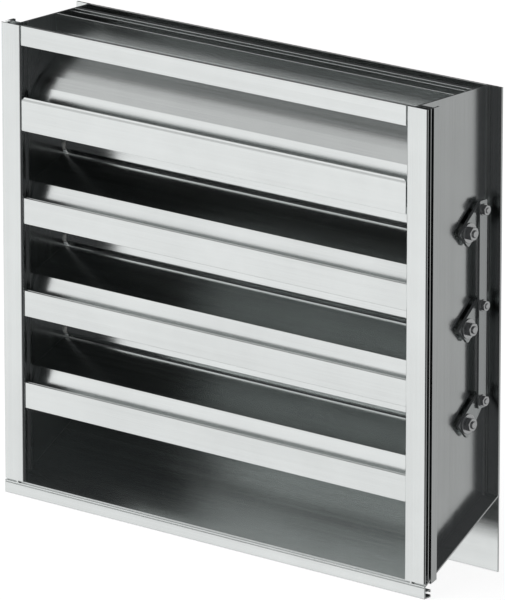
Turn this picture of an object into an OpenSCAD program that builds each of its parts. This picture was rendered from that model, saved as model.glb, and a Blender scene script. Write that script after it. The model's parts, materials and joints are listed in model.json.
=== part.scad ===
/* [Frame] */
// Overall width over the jamb flanges
frame_w = 575; // [400:5:1200]
// Overall height from the sill's lower edge to the jamb tops
frame_h = 515; // [500:1:530]
// Depth from the jamb's front face to the rear flange
frame_d = 122; // [120:1:126]
// Wall thickness of the extruded sections
wall = 2; // [1.6:0.1:2.4]
// Width of the flat part of the jamb's front flange
flange_w = 24; // [22:0.5:25]
// Distance of the jamb web's outer face from the flange's outer edge
web_inset = 17; // [16:1:20]
// Height of the sill's front lip below its nose
lip_h = 12.6; // [10:0.2:12.8]

/* [Louvre blades] */
// Vertical spacing of the louvre blades and of the damper blades
pitch = 101.1; // [100:0.1:102]
// Reference height of the lowest louvre blade
face_z = 95.7; // [94:0.1:97]
// Height of a louvre face
face_h = 27.8; // [25:0.2:29]
// Height of the fixed top blade's face
top_face_h = 36.3; // [34:0.1:37]

/* [Damper blades] */
// Axis of the damper blades, measured back from the front face
axis_y = 82; // [81:0.5:83]
// Height of the damper axis above its louvre blade's reference height
axis_rise = 70.5; // [70:0.5:72]
// Height of a damper blade above its axis
blade_up = 92.5; // [85:0.5:93]
// End clearance of a damper blade to each jamb web
end_gap = 2.8; // [1.5:0.1:4]
// Radius of the stub axles
axle_r = 4; // [3.5:0.1:4]
// Opening angle shown, zero is closed
open_deg = 0; // [0:1:66]

/* [Linkage] */
// Distance from the damper axis to the link pin
crank_len = 29; // [26:0.5:29]
// Angle of the link pin above the horizontal with the damper closed
crank_deg = 46.3; // [44:0.1:50]
// Angle of the crank plate's own straight side
crank_side_deg = 42; // [40:0.5:44]
// Thickness of the crank plates
crank_t = 3.5; // [3:0.1:3.6]
// Width of the link bar
bar_w = 12; // [10:0.5:12]
// Thickness of the link bar
bar_t = 2.5; // [2:0.1:2.5]

/* [Hidden] */
$fn = 48;
xw = web_inset + wall;              // inner face of the left web
xr = frame_w - xw;                  // inner face of the right web
inner_w = xr - xw;
slope_s = (84.2 - 13.8) / 122;      // sill fall over its depth
slope_deg = atan(slope_s);
head_z = 493.6;                     // underside of the head's floor
top_z = face_z + 3 * pitch;         // reference height of the top blade
flange_u = flange_w + 3.4;          // inner edge of the rounded flange
x_out = frame_w - web_inset;        // outer face of the right web

// shifts the front-left-bottom datum to the middle of the base
module placed() { translate([-frame_w / 2, -frame_d / 2, 0]) children(); }
// extrudes a depth/height section along the width
module along_x(x0, x1) { translate([x0, 0, 0]) rotate([90, 0, 90]) linear_extrude(x1 - x0) children(); }
module box2(x0, y0, x1, y1) { translate([x0, y0]) square([x1 - x0, y1 - y0]); }
module block(a, b) { translate(a) cube(b - a); }

// bent sheet section: a run of points thickened to one side
function _n(a, b) = let (d = b - a) [-d[1], d[0]] / norm(d);
function _m(p, i, t) =
  i == 0 ? p[0] + t * _n(p[0], p[1])
  : i == len(p) - 1 ? p[i] + t * _n(p[i - 1], p[i])
  : let (a = _n(p[i - 1], p[i]), b = _n(p[i], p[i + 1])) p[i] + t * (a + b) / (1 + a * b);
function sheet(p, t) = concat(p, [for (i = [len(p) - 1 : -1 : 0]) _m(p, i, t)]);

function axis_z(k) = face_z + k * pitch + axis_rise;   // k = 0 lowest, 2 upper

// ---- frame ----

// half plan of a jamb: u runs inwards from the flange's outer edge, v runs back
module jamb_plan() {
  // front flange, rounded at its outer edge, turned back at its inner edge
  box2(wall, 0, flange_w, wall);
  intersection() { translate([wall, wall]) circle(r = wall); box2(0, 0, wall, wall); }
  difference() {
    intersection() { translate([flange_w, 3.4]) circle(r = 3.4); box2(flange_w, 0, flange_u, 3.4); }
    translate([flange_w, 3.4]) circle(r = 1.4);
  }
  box2(flange_u - 2, 3.4, flange_u, 4.6);
  // web
  box2(web_inset, 1, xw, frame_d - 1);
  // fin and wall of the outer slot, lip with its hook
  box2(0.6, 6.4, web_inset + 1, 7.4);
  box2(0, 10.7, web_inset + 1, 12.3);
  box2(0, 10.7, 1.8, 19.8);
  box2(0, 18.4, 3.4, 19.8);
  // drain ribs inside
  box2(xw - 1, 12.5, xw + 2, 13.7);
  box2(xw - 1, 18.5, xw + 2.5, 20.3);
  // rear ribs outside and the rear flange
  box2(web_inset - 1.6, 116.3, web_inset + 1, 117.3);
  box2(web_inset - 1.6, 118.2, web_inset + 1, frame_d - 1);
  box2(0, frame_d - 2.5, xw, frame_d);
}

module jamb() {
  difference() {
    linear_extrude(frame_h) jamb_plan();
    // foot cut to the fall of the sill, the hooked lip runs on below it
    difference() {
      along_x(-1, flange_u + 1) polygon([[-1, -1], [-1, 13.8 - slope_s], [frame_d + 1, 13.8 + (frame_d + 1) * slope_s], [frame_d + 1, -1]]);
      along_x(-2, 2.2) polygon([[10.2, 13.8], [20.2, 16.8], [20.2, 40], [10.2, 40]]);
    }
    // shadow gap between the flange's foot and the sill's nose
    along_x(-1, web_inset - 0.1) box2(-1, 0, 4.8, 15.8);
    along_x(xw + 0.1, flange_u + 1) box2(-1, 0, 4.8, 15.8);
    // holes for the damper bushes
    for (k = [0 : 2]) translate([web_inset - 1, axis_y, axis_z(k)]) rotate([0, 90, 0]) cylinder(r = 6, h = wall + 2);
  }
}

module left_jamb() { color("silver") placed() jamb(); }
module right_jamb() { color("silver") placed() translate([frame_w, 0, 0]) mirror([1, 0, 0]) jamb(); }

// open channel with ribs for the wall trim, rear flange at its back
module head() {
  color("silver") placed() difference() {
    along_x(xw, xr) union() {
      box2(0.6, head_z, 2.6, frame_h);
      box2(2, 508.6, 11, 509.8);
      box2(9.8, 508.6, 11, 513);
      box2(0.6, head_z, frame_d - 1, head_z + wall);
      box2(66.5, head_z, 68.5, frame_h);
      box2(90.2, head_z, 91.6, 513.4);
      box2(90.2, 508, 93.6, 509.4);
      box2(98.2, head_z, 100.2, frame_h);
      box2(95.4, 513.4, 101.8, frame_h);
      box2(frame_d - 2.5, head_z - 20, frame_d, frame_h);
    }
    // front clears the jamb's rounded flange and drain ribs
    for (x = [xw - 1, xr - 3.5]) block([x, 0, head_z - 1], [x + 4.5, 20.8, frame_h + 1]);
    for (x = [xw - 1, frame_w - flange_u - 0.6]) block([x, -1, head_z - 1], [x + flange_u + 0.6 - xw + 1, 5.4, frame_h + 1]);
  }
}

// sloped sill with its lip, drip hook and rear plate
module sill() {
  color("silver") placed() difference() {
    along_x(0, frame_w) difference() {
      union() {
        polygon(sheet([[frame_d, 84.2], [0, 13.8]], wall));
        box2(0, 0, wall, 14.2);
        box2(0, 0, 10.5, 1.6);
        box2(9, 0, 10.5, 2.9);
        box2(1, 6.8, 10.5, 8.3);
        box2(9, 5.6, 10.5, 8.3);
        box2(frame_d - wall, 0, frame_d, 83.6);
      }
      box2(-1, 11.4, 1.2, 12.2);
      box2(-1, 13.8, wall + 0.4, 16);
      polygon([[0, 13.8], [frame_d + 1, 13.8 + (frame_d + 1) * slope_s], [frame_d + 1, 100], [0, 100]]);
      box2(frame_d, -1, frame_d + 2, 100);
      box2(-2, -1, 0, 20);
    }
    // end notches for the jamb's hooked lip
    for (x = [-1, frame_w - 2.2]) block([x, 9.9, 11], [x + 3.2, 20.6, 30]);
  }
}

// fixed top blade: tall face, gutter, riser and the panel that closes up to the head
module top_blade() {
  b = top_z;
  color("silver") placed() difference() {
    along_x(xw, xr) difference() {
      union() {
        // face with its upper edge leaning back
        polygon(sheet([[1.65, b + 2.7 + top_face_h], [1.65, b + 0.7 + top_face_h], [1.25, b - 0.5 + top_face_h],
          [0.95, b - 1.5 + top_face_h], [0.8, b - 2.5 + top_face_h], [0.8, b + 2.7]], wall));
        box2(2, b + 10, 19.5, b + 11.6);
        polygon(sheet([[51, head_z], [31.1, b + 58.6], [26, b + 45.8], [18.4, b + 10]], wall));
      }
      box2(20, head_z, 60, head_z + 10);
    }
    // ends stand clear of the jamb's flange and drain ribs, upper corners cut off
    for (x = [xw - 1, frame_w - flange_u - 0.6]) block([x, -1, b - 1], [x + flange_u + 0.6 - xw + 1, 5.4, b + 60]);
    for (x = [xw - 1, xr - 3.1]) block([x, 5, b - 1], [x + 4.1, 20.8, b + 60]);
    for (s = [0, 1]) translate([s == 0 ? flange_u + 0.6 : frame_w - flange_u - 0.6, 0, b + 2.7 + top_face_h])
      rotate([0, 45, 0]) cube([4.4, 14, 4.4], center = true);
  }
}

// fixed drainable louvre blade: face, gutter, riser, slope and rear hook
module louvre_blade(k) {
  b = face_z + k * pitch;
  color("silver") placed() difference() {
    along_x(xw, xr) union() {
      box2(2.9, b + 2.2, 4.9, b + 2.2 + face_h);
      box2(2.9, b + 0.8 + face_h, 6.6, b + 2.2 + face_h);
      box2(5.7, b + 0.8 + face_h, 6.6, b + 2.7 + face_h);
      box2(4, b + 10, 18.5, b + 11.6);
      polygon(sheet([[75.5, b + 54], [75.5, b + 63.1], [25.3, b + 42.9], [17.4, b + 10]], wall));
    }
    // ends stand clear of the jamb's flange and drain ribs
    for (x = [xw - 1, frame_w - flange_u - 0.6]) block([x, 0, b - 1], [x + flange_u + 0.6 - xw + 1, 7.4, b + 40]);
    for (x = [xw - 1, xr - 3.1]) block([x, 7, b - 1], [x + 4.1, 20.8, b + 60]);
  }
}
module louvre_blade_upper() { louvre_blade(2); }
module louvre_blade_middle() { louvre_blade(1); }
module louvre_blade_lower() { louvre_blade(0); }

// downstand that the upper damper blade closes against
module head_stop() {
  color("silver") placed() along_x(xw, xr) union() {
    box2(73.5, top_z + 54, 75.5, head_z);
    box2(62, head_z - wall, 75.5, head_z);
  }
}

// plate that closes the bay between the sill and the lower damper blade
module sill_closure() {
  z0 = 13.8 + 87.5 * slope_s;
  color("silver") placed() along_x(xw, xr) union() {
    polygon([[87.5, z0], [89.5, z0 + 2 * slope_s], [89.5, axis_z(0) - 9.5], [87.5, axis_z(0) - 9.5]]);
    polygon([[87.5, z0], [102, z0 + 14.5 * slope_s], [102, z0 + 14.5 * slope_s + 2.3], [87.5, z0 + 2.3]]);
    box2(77.5, axis_z(0) - 11.5, 89.5, axis_z(0) - 9.5);
  }
}

// ---- damper blades and what turns with them ----

module turned(k) {
  placed() translate([0, axis_y, axis_z(k)]) rotate([-open_deg, 0, 0]) children();
}

module damper_blade(k) {
  color("silver") turned(k) difference() {
    along_x(xw + end_gap, xr - end_gap) union() {
      box2(-5.5, 0, -3.5, blade_up);
      // keel below the boss, closes down to the next blade's edge
      polygon([[-5.5, 1], [-5.5, -1.5], [-2.3, -7.6], [1.4, -7.6], [5.2, -2.4], [3, 1]]);
      box2(-5.5, blade_up - 1.8, 3, blade_up);
      box2(1.2, blade_up - 5, 3, blade_up);
      box2(-5, 44, 1.5, 45.6);
      circle(r = 5.5);
    }
    // axle bores at both ends
    for (x = [xw + end_gap - 1, xr - end_gap - 40])
      translate([x, 0, 0]) rotate([0, 90, 0]) cylinder(r = axle_r, h = 41);
  }
}
module damper_blade_upper() { damper_blade(2); }
module damper_blade_middle() { damper_blade(1); }
module damper_blade_lower() { damper_blade(0); }

// soft strip on the blade's upper edge
module blade_seal(k) {
  color("dimgray") turned(k) along_x(xw + end_gap, xr - end_gap)
    polygon([[-5.5, blade_up - 6.5], [-6.2, blade_up - 5], [-6.2, blade_up - 2.5], [-5.5, blade_up - 1]]);
}
module blade_seal_upper() { blade_seal(2); }
module blade_seal_middle() { blade_seal(1); }
module blade_seal_lower() { blade_seal(0); }

// threaded stub that carries the crank
module drive_axle(k) {
  color("gainsboro") turned(k) translate([xr - end_gap - 40, 0, 0]) rotate([0, 90, 0]) union() {
    cylinder(r = axle_r, h = x_out + 14.3 - (xr - end_gap - 40));
    translate([0, 0, x_out + 14.3 - (xr - end_gap - 40)]) cylinder(r1 = axle_r, r2 = axle_r - 0.7, h = 0.7);
  }
}
module drive_axle_upper() { drive_axle(2); }
module drive_axle_middle() { drive_axle(1); }
module drive_axle_lower() { drive_axle(0); }

// headed stub at the plain end
module pivot_axle(k) {
  color("gainsboro") turned(k) rotate([0, 90, 0]) union() {
    translate([0, 0, web_inset - 2.7]) cylinder(r = axle_r, h = xw + end_gap + 40 - (web_inset - 2.7));
    translate([0, 0, web_inset - 8]) cylinder(r = 7.5, h = 5.3, $fn = 6);
  }
}
module pivot_axle_upper() { pivot_axle(2); }
module pivot_axle_middle() { pivot_axle(1); }
module pivot_axle_lower() { pivot_axle(0); }

module bush() {
  difference() {
    union() {
      cylinder(r = 6, h = 4);
      translate([0, 0, -2.5]) cylinder(r = 8, h = 2.5);
    }
    translate([0, 0, -3]) cylinder(r = axle_r + 0.05, h = 8);
  }
}
module bushes_right() {
  color("whitesmoke") placed() for (k = [0 : 2])
    translate([x_out, axis_y, axis_z(k)]) rotate([0, -90, 0]) bush();
}
module bushes_left() {
  color("whitesmoke") placed() for (k = [0 : 2])
    translate([web_inset, axis_y, axis_z(k)]) rotate([0, 90, 0]) bush();
}

// crank plate: square foot at the axle, one straight side, round end at the link pin
pa = crank_deg - crank_side_deg;
px = crank_len * cos(pa);
py = crank_len * sin(pa);
function crank_outline() = concat(
  [[-9.6, 10.6], [-11, 9.2], [-11, -9.6], [-9.4, -11.2], [1, -11.2]],
  [for (a = [-75 : 11 : 90]) [px + 8 * cos(a), py + 8 * sin(a)]]);
module crank(k) {
  color("silver") turned(k) translate([x_out + 2.7, 0, 0]) difference() {
    rotate([crank_side_deg, 0, 0]) along_x(0, crank_t) polygon(crank_outline());
    rotate([0, 90, 0]) translate([0, 0, -1]) cylinder(r = axle_r, h = crank_t + 2);
    translate([-1, crank_len * cos(crank_deg), crank_len * sin(crank_deg)]) rotate([0, 90, 0])
      cylinder(r = k == 1 ? 3.05 : 3.25, h = crank_t + 2);
  }
}
module crank_upper() { crank(2); }
module crank_middle() { crank(1); }
module crank_lower() { crank(0); }

module crank_washer(k) {
  color("gainsboro") turned(k) translate([x_out + 2.7 + crank_t, 0, 0]) rotate([0, 90, 0])
    difference() { cylinder(r = 10.5, h = 1.6); translate([0, 0, -1]) cylinder(r = axle_r, h = 4); }
}
module crank_washer_upper() { crank_washer(2); }
module crank_washer_middle() { crank_washer(1); }
module crank_washer_lower() { crank_washer(0); }

// hexagon nut with chamfered corners
module nut(af, h, r) {
  difference() {
    intersection() {
      cylinder(r = af / sqrt(3), h = h, $fn = 6);
      union() {
        translate([0, 0, -0.01]) cylinder(r1 = af * 0.49, r2 = af * 0.49 + h * 0.5 * 1.7, h = h * 0.5 + 0.01);
        translate([0, 0, h * 0.5]) cylinder(r1 = af * 0.49 + h * 0.5 * 1.7, r2 = af * 0.49, h = h * 0.5 + 0.01);
      }
    }
    translate([0, 0, -1]) cylinder(r = r, h = h + 2);
  }
}
module crank_nut(k) {
  color("gainsboro") turned(k) translate([x_out + 4.3 + crank_t, 0, 0]) rotate([0, 90, 0])
    rotate(15) nut(13, 5.5, axle_r);
}
module crank_nut_upper() { crank_nut(2); }
module crank_nut_middle() { crank_nut(1); }
module crank_nut_lower() { crank_nut(0); }

// ---- link ----

x_bar = x_out + 2.7 + crank_t + 0.3;      // inner face of the link bar
function pin_y() = axis_y + crank_len * cos(crank_deg - open_deg);
function pin_z(k) = axis_z(k) + crank_len * sin(crank_deg - open_deg);

module link_bar() {
  color("silver") placed() difference() {
    along_x(x_bar, x_bar + bar_t) polygon([
      [pin_y() - bar_w / 2, pin_z(0) - 7], [pin_y() - bar_w / 2 + 1, pin_z(0) - 8], [pin_y() + bar_w / 2 - 1, pin_z(0) - 8], [pin_y() + bar_w / 2, pin_z(0) - 7],
      [pin_y() + bar_w / 2, pin_z(2) + 9], [pin_y() + bar_w / 2 - 1, pin_z(2) + 10], [pin_y() - bar_w / 2 + 1, pin_z(2) + 10], [pin_y() - bar_w / 2, pin_z(2) + 9]]);
    for (k = [0 : 2]) translate([x_bar - 1, pin_y(), pin_z(k)]) rotate([0, 90, 0]) cylinder(r = 3, h = bar_t + 2);
  }
}
module link_bolts() {
  color("gainsboro") placed() for (k = [0 : 2]) translate([0, pin_y(), pin_z(k)]) rotate([0, 90, 0]) union() {
    translate([0, 0, x_out + 0.7]) cylinder(r = 5, h = 1.8);
    translate([0, 0, x_out + 0.7]) cylinder(r = 3, h = 14);
    translate([0, 0, x_out + 14.7]) cylinder(r1 = 3, r2 = 2.5, h = 0.5);
  }
}
module link_washers() {
  color("gainsboro") placed() for (k = [0 : 2]) translate([x_bar + bar_t, pin_y(), pin_z(k)]) rotate([0, 90, 0])
    difference() { cylinder(r = 6.2, h = 1.2); translate([0, 0, -1]) cylinder(r = 3, h = 4); }
}
module link_nuts() {
  color("gainsboro") placed() for (k = [0 : 2]) translate([x_bar + bar_t + 1.2, pin_y(), pin_z(k)]) rotate([0, 90, 0])
    rotate(10) nut(10, 4, 3);
}

left_jamb();
right_jamb();
head();
sill();
top_blade();
louvre_blade_upper();
louvre_blade_middle();
louvre_blade_lower();
head_stop();
sill_closure();
damper_blade_upper();
damper_blade_middle();
damper_blade_lower();
blade_seal_upper();
blade_seal_middle();
blade_seal_lower();
drive_axle_upper();
drive_axle_middle();
drive_axle_lower();
pivot_axle_upper();
pivot_axle_middle();
pivot_axle_lower();
bushes_right();
bushes_left();
crank_upper();
crank_middle();
crank_lower();
crank_washer_upper();
crank_washer_middle();
crank_washer_lower();
crank_nut_upper();
crank_nut_middle();
crank_nut_lower();
link_bar();
link_bolts();
link_washers();
link_nuts();
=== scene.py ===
import bpy, bmesh, json, math
from mathutils import Vector, Matrix

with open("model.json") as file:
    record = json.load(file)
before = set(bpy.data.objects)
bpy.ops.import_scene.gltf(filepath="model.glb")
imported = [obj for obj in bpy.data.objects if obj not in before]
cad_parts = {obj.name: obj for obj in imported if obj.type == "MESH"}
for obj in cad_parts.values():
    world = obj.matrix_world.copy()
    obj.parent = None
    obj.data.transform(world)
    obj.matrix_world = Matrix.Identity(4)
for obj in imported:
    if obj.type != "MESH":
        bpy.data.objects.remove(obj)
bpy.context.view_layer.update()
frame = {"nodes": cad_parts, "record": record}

nodes = frame["nodes"]
scene = bpy.context.scene
col = scene.collection


# ---------------------------------------------------------------- materials
def new_mat(name):
    m = bpy.data.materials.new(name)
    m.use_nodes = True
    nt = m.node_tree
    nt.nodes.clear()
    out = nt.nodes.new("ShaderNodeOutputMaterial")
    b = nt.nodes.new("ShaderNodeBsdfPrincipled")
    nt.links.new(b.outputs[0], out.inputs[0])
    return m, nt, b


def N(nt, kind, **kw):
    n = nt.nodes.new(kind)
    for k, v in kw.items():
        setattr(n, k, v)
    return n


def math_node(nt, op, a, b=None, clamp=False):
    n = N(nt, "ShaderNodeMath", operation=op, use_clamp=clamp)
    for i, v in enumerate((a, b)):
        if v is None:
            continue
        if isinstance(v, (int, float)):
            n.inputs[i].default_value = v
        else:
            nt.links.new(v, n.inputs[i])
    return n.outputs[0]


def noise(nt, vec, scale, detail=3.0, rough=0.55, dist=0.0):
    n = N(nt, "ShaderNodeTexNoise")
    n.inputs["Scale"].default_value = scale
    n.inputs["Detail"].default_value = detail
    n.inputs["Roughness"].default_value = rough
    n.inputs["Distortion"].default_value = dist
    nt.links.new(vec, n.inputs["Vector"])
    return n.outputs["Fac"]


def mapped(nt, scale, rot=(0, 0, 0), loc=(0, 0, 0)):
    tc = N(nt, "ShaderNodeTexCoord")
    mp = N(nt, "ShaderNodeMapping")
    mp.inputs["Scale"].default_value = scale
    mp.inputs["Rotation"].default_value = rot
    mp.inputs["Location"].default_value = loc
    nt.links.new(tc.outputs["Object"], mp.inputs["Vector"])
    return mp.outputs[0]


def remap(nt, v, lo, hi, a=0.0, b=1.0):
    n = N(nt, "ShaderNodeMapRange", clamp=True)
    nt.links.new(v, n.inputs[0])
    n.inputs[1].default_value = lo
    n.inputs[2].default_value = hi
    n.inputs[3].default_value = a
    n.inputs[4].default_value = b
    return n.outputs[0]


def mixc(nt, f, a, b):
    n = N(nt, "ShaderNodeMix", data_type="RGBA")
    for sock, v in ((n.inputs[0], f), (n.inputs[6], a), (n.inputs[7], b)):
        if isinstance(v, (int, float)):
            sock.default_value = v
        elif isinstance(v, tuple):
            sock.default_value = (*v, 1)
        else:
            nt.links.new(v, sock)
    return n.outputs[2]


def edge_highlight_wear_mask(nt, radius):
    """1 along outer edges, 0 on flats; used for a painted edge highlight that is partly rubbed edge wear, and for
    rougher edges
    """
    bv = N(nt, "ShaderNodeBevel", samples=4)
    bv.inputs["Radius"].default_value = radius
    g = N(nt, "ShaderNodeNewGeometry")
    d = N(nt, "ShaderNodeVectorMath", operation="DOT_PRODUCT")
    nt.links.new(bv.outputs[0], d.inputs[0])
    nt.links.new(g.outputs["Normal"], d.inputs[1])
    return remap(nt, d.outputs["Value"], 0.985, 0.9, 0.0, 1.0)


def aluminium(name, run, tint=(0.78, 0.805, 0.80), rough=0.2, seed=0.0):
    """mill-finish extrusion with die lines along the run axis"""
    m, nt, b = new_mat(name)
    L = nt.links.new
    along = {"x": (0.9, 260, 260), "y": (260, 0.9, 260), "z": (260, 260, 0.9)}[run]
    coarse = {"x": (0.35, 55, 55), "y": (55, 0.35, 55), "z": (55, 55, 0.35)}[run]
    die = noise(nt, mapped(nt, along, loc=(seed, seed * 1.7, seed * 0.3)), 4.0, 2.0, 0.6)
    band = noise(nt, mapped(nt, coarse, loc=(seed * 2, seed, seed)), 2.0, 3.0, 0.6)
    cloud = noise(nt, mapped(nt, (1, 1, 1), loc=(seed, 3, 1)), 9.0, 4.0, 0.6)
    speck = noise(nt, mapped(nt, (1, 1, 1), loc=(1, seed, 5)), 420.0, 2.0, 0.7)
    dark = tuple(c * 0.9 for c in tint)
    lite = tuple(min(1.0, c * 1.06) for c in tint)
    c1 = mixc(nt, remap(nt, cloud, 0.3, 0.7), dark, tint)
    c2 = mixc(nt, math_node(nt, "MULTIPLY", remap(nt, die, 0.35, 0.7), 0.55), c1, lite)
    c3 = mixc(nt, math_node(nt, "MULTIPLY", remap(nt, speck, 0.68, 0.8), 0.25), c2, tuple(c * 0.72 for c in tint))
    em = edge_highlight_wear_mask(nt, 0.0009)
    # painted edge highlight, partly rubbed edge wear: base colour lifted to 1.2x the tint along outer edges
    c4 = mixc(nt, math_node(nt, "MULTIPLY", em, 0.5), c3, tuple(min(1.0, c * 1.2) for c in tint))
    L(c4, b.inputs["Base Color"])
    r = math_node(nt, "ADD", rough - 0.05, remap(nt, band, 0.3, 0.7, 0.0, 0.07))
    r = math_node(nt, "ADD", r, remap(nt, die, 0.35, 0.7, 0.0, 0.05))
    r = math_node(nt, "ADD", r, math_node(nt, "MULTIPLY", em, 0.08))
    L(r, b.inputs["Roughness"])
    b.inputs["Metallic"].default_value = 1.0
    h = math_node(nt, "ADD", math_node(nt, "MULTIPLY", die, 0.6), math_node(nt, "MULTIPLY", band, 1.0))
    bp = N(nt, "ShaderNodeBump")
    bp.inputs["Strength"].default_value = 0.045
    bp.inputs["Distance"].default_value = 0.00025
    L(h, bp.inputs["Height"])
    L(bp.outputs[0], b.inputs["Normal"])
    return m


def zinc(name, rough=0.24):
    """bright zinc plate on turned and pressed steel"""
    m, nt, b = new_mat(name)
    L = nt.links.new
    cloud = noise(nt, mapped(nt, (1, 1, 1)), 120.0, 3.0, 0.6)
    fine = noise(nt, mapped(nt, (1, 1, 1)), 900.0, 2.0, 0.6)
    em = edge_highlight_wear_mask(nt, 0.0005)
    c = mixc(nt, remap(nt, cloud, 0.3, 0.7), (0.76, 0.775, 0.78), (0.86, 0.87, 0.875))
    # painted edge highlight, partly rubbed edge wear: plate colour lifted towards near-white along outer edges
    c = mixc(nt, math_node(nt, "MULTIPLY", em, 0.6), c, (0.95, 0.955, 0.955))
    L(c, b.inputs["Base Color"])
    L(math_node(nt, "ADD", rough, remap(nt, cloud, 0.3, 0.7, 0.0, 0.12)), b.inputs["Roughness"])
    b.inputs["Metallic"].default_value = 1.0
    bp = N(nt, "ShaderNodeBump")
    bp.inputs["Strength"].default_value = 0.2
    bp.inputs["Distance"].default_value = 0.00006
    L(fine, bp.inputs["Height"])
    L(bp.outputs[0], b.inputs["Normal"])
    return m


def polymer(name, base, rough, grain):
    m, nt, b = new_mat(name)
    L = nt.links.new
    cloud = noise(nt, mapped(nt, (1, 1, 1)), 60.0, 3.0, 0.6)
    fine = noise(nt, mapped(nt, (1, 1, 1)), grain, 3.0, 0.65)
    em = edge_highlight_wear_mask(nt, 0.0006)
    c = mixc(nt, remap(nt, cloud, 0.3, 0.7), tuple(x * 0.85 for x in base), base)
    # painted edge highlight, partly rubbed edge wear: colour lightened along outer edges
    c = mixc(nt, math_node(nt, "MULTIPLY", em, 0.35), c, tuple(min(1.0, x * 1.35 + 0.02) for x in base))
    L(c, b.inputs["Base Color"])
    L(math_node(nt, "ADD", rough, remap(nt, fine, 0.3, 0.7, 0.0, 0.12)), b.inputs["Roughness"])
    bp = N(nt, "ShaderNodeBump")
    bp.inputs["Strength"].default_value = 0.25
    bp.inputs["Distance"].default_value = 0.0001
    L(fine, bp.inputs["Height"])
    L(bp.outputs[0], b.inputs["Normal"])
    return m


MAT = {
    "jamb": aluminium("jamb_metal", "z", seed=3.0),
    "frame": aluminium("frame_metal", "x", seed=11.0),
    "blade": aluminium("blade_metal", "x", seed=23.0),
    "crank": aluminium("crank_metal", "z", tint=(0.63, 0.655, 0.655), rough=0.24, seed=31.0),
    "zinc": zinc("zinc_plate"),
    "rubber": polymer("seal_rubber", (0.035, 0.036, 0.038), 0.55, 1500.0),
    "plastic": polymer("bush_plastic", (0.72, 0.72, 0.70), 0.4, 900.0),
}
SLOT = {
    "jamb_aluminium": "jamb", "frame_aluminium": "frame", "blade_aluminium": "blade",
    "crank_aluminium": "crank", "plated_steel": "zinc", "seal_rubber": "rubber", "bush_plastic": "plastic",
}
slot_of = {s["node"]: s["material_slot"] for s in frame["record"]["subparts"]}
BEVEL = {"jamb": 0.00035, "frame": 0.00035, "blade": 0.00035, "crank": 0.0004, "zinc": 0.00025, "rubber": 0.0002, "plastic": 0.0003}

ROUND = ("zinc", "plastic", "rubber", "crank")

for n, o in nodes.items():
    kind = SLOT[slot_of[n]]
    me = o.data
    me.materials.clear()
    me.materials.append(MAT[kind])
    for a in ("custom_normal", "sharp_face", "sharp_edge"):
        if a in me.attributes:
            me.attributes.remove(me.attributes[a])
    for p in me.polygons:
        p.material_index = 0
        p.use_smooth = kind in ROUND
    w = o.modifiers.new("weld", "WELD")
    w.merge_threshold = 0.00002
    d = o.modifiers.new("planar", "DECIMATE")
    d.decimate_type = "DISSOLVE"
    d.angle_limit = math.radians(0.5)
    v = o.modifiers.new("edge", "BEVEL")
    v.width = BEVEL[kind]
    v.segments = 2 if kind in ROUND else 3
    v.limit_method = "ANGLE"
    v.angle_limit = math.radians(32)
    v.use_clamp_overlap = True
    if kind in ROUND:
        x = o.modifiers.new("normals", "WEIGHTED_NORMAL")
        x.mode = "FACE_AREA"
        x.weight = 100
        x.keep_sharp = False


# ---------------------------------------------------------------- camera
AZ, EL = math.radians(40.25), math.radians(15.836)
back = Vector((math.sin(AZ) * math.cos(EL), -math.cos(AZ) * math.cos(EL), math.sin(EL)))
right = Vector((math.cos(AZ), math.sin(AZ), 0))
up = back.cross(right)
eye = (right * 263.744 + up * 203.996 + back * 8241.75 - Vector((287.5, 61.0, 0))) / 1000
cam = bpy.data.cameras.new("camera")
cam.sensor_width = 36.0
cam.lens = 7735.39 / 600 * 36
cam.clip_start, cam.clip_end = 0.1, 200
cam_o = bpy.data.objects.new("camera", cam)
cam_o.matrix_world = Matrix((
    (right.x, up.x, back.x, eye.x),
    (right.y, up.y, back.y, eye.y),
    (right.z, up.z, back.z, eye.z),
    (0, 0, 0, 1)))
col.objects.link(cam_o)
scene.camera = cam_o


# ---------------------------------------------------------------- floor and light
scene.view_settings.view_transform = "Standard"
scene.view_settings.look = "None"

bpy.ops.mesh.primitive_plane_add(size=80, location=(0, 0, -0.0004))
floor = bpy.context.object
floor.name = "studio_floor"
fm, fnt, fb = new_mat("floor_paper")
fb.inputs["Base Color"].default_value = (0.93, 0.93, 0.93, 1)
fb.inputs["Roughness"].default_value = 0.9
fb.inputs["Emission Color"].default_value = (1, 1, 1, 1)
fb.inputs["Emission Strength"].default_value = 0.9
floor.data.materials.append(fm)
floor.visible_glossy = False

world = bpy.data.worlds.new("studio")
scene.world = world
world.use_nodes = True
wn = world.node_tree
wn.nodes.clear()
wo = wn.nodes.new("ShaderNodeOutputWorld")
bg = wn.nodes.new("ShaderNodeBackground")
wn.links.new(bg.outputs[0], wo.inputs[0])
tc = wn.nodes.new("ShaderNodeTexCoord")
sx = wn.nodes.new("ShaderNodeSeparateXYZ")
wn.links.new(tc.outputs["Generated"], sx.inputs[0])


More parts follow.
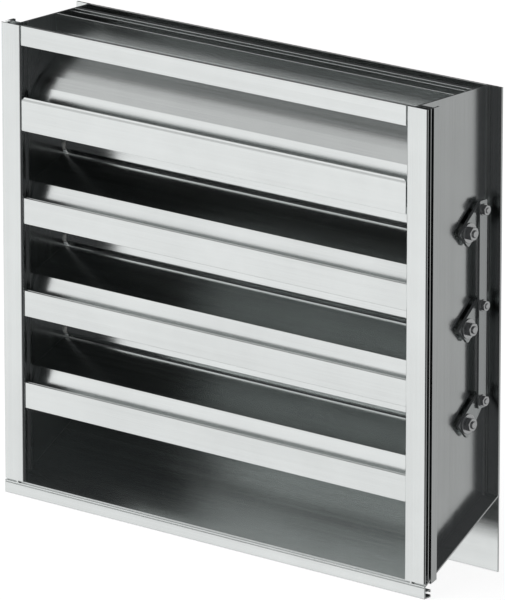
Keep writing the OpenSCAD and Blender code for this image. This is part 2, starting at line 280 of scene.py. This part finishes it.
def ramp_of(sock, lo, hi, stops):
    mr = wn.nodes.new("ShaderNodeMapRange")
    mr.inputs[1].default_value, mr.inputs[2].default_value = lo, hi
    wn.links.new(sock, mr.inputs[0])
    r = wn.nodes.new("ShaderNodeValToRGB")
    r.color_ramp.interpolation = "EASE"
    wn.links.new(mr.outputs[0], r.inputs[0])
    el = r.color_ramp.elements
    while len(el) > 1:
        el.remove(el[0])
    for i, (z, c) in enumerate(stops):
        t = (z - lo) / (hi - lo)
        e = el[0] if i == 0 else el.new(t)
        e.position = t
        e.color = (c[0], c[1], c[2], 1)
    return r.outputs[0]


def grey(v, g=0.0):
    return (v * (1 - g), v, v * (1 - g * 0.3))


# two soft panels in a dark studio: a wide one at the front left that is white near the horizon and grey
# above it, and a dimmer one at the rear right
def panel(direction, lo, hi):
    dot = wn.nodes.new("ShaderNodeVectorMath")
    dot.operation = "DOT_PRODUCT"
    wn.links.new(tc.outputs["Generated"], dot.inputs[0])
    dot.inputs[1].default_value = direction
    mr = wn.nodes.new("ShaderNodeMapRange")
    mr.interpolation_type = "SMOOTHSTEP"
    mr.inputs[1].default_value, mr.inputs[2].default_value = lo, hi
    wn.links.new(dot.outputs["Value"], mr.inputs[0])
    return mr.outputs[0]


def blend(f, a, b):
    mx = wn.nodes.new("ShaderNodeMix")
    mx.data_type = "RGBA"
    wn.links.new(f, mx.inputs[0])
    for sock, v in ((mx.inputs[6], a), (mx.inputs[7], b)):
        if isinstance(v, tuple):
            sock.default_value = (*v, 1)
        else:
            wn.links.new(v, sock)
    return mx.outputs[2]


front = ramp_of(sx.outputs["Z"], -1, 1, [(-1, grey(0.08)), (-0.46, grey(0.10)), (-0.38, grey(0.80)), (-0.32, grey(1.0)), (0.15, grey(1.0)),
                                         (0.22, grey(0.54)), (0.32, grey(0.62)), (0.5, grey(0.57)), (0.72, grey(0.50)), (0.9, grey(0.20)), (1, grey(0.12))])
rear = ramp_of(sx.outputs["Z"], -1, 1, [(-1, grey(0.06)), (-0.5, grey(0.16)), (-0.35, grey(0.40)), (-0.1, grey(0.44)), (0.1, grey(0.24)),
                                        (0.3, grey(0.08)), (1, grey(0.06))])
sky = blend(panel((0.65, 0.76, 0), 0.4, 0.95), (0.05, 0.05, 0.052), rear)
sky = blend(panel((-0.72, -0.69, 0), 0.25, 0.75), sky, front)
wn.links.new(sky, bg.inputs[0])
bg.inputs[1].default_value = 1.0
scene.cycles.glossy_bounces = 4
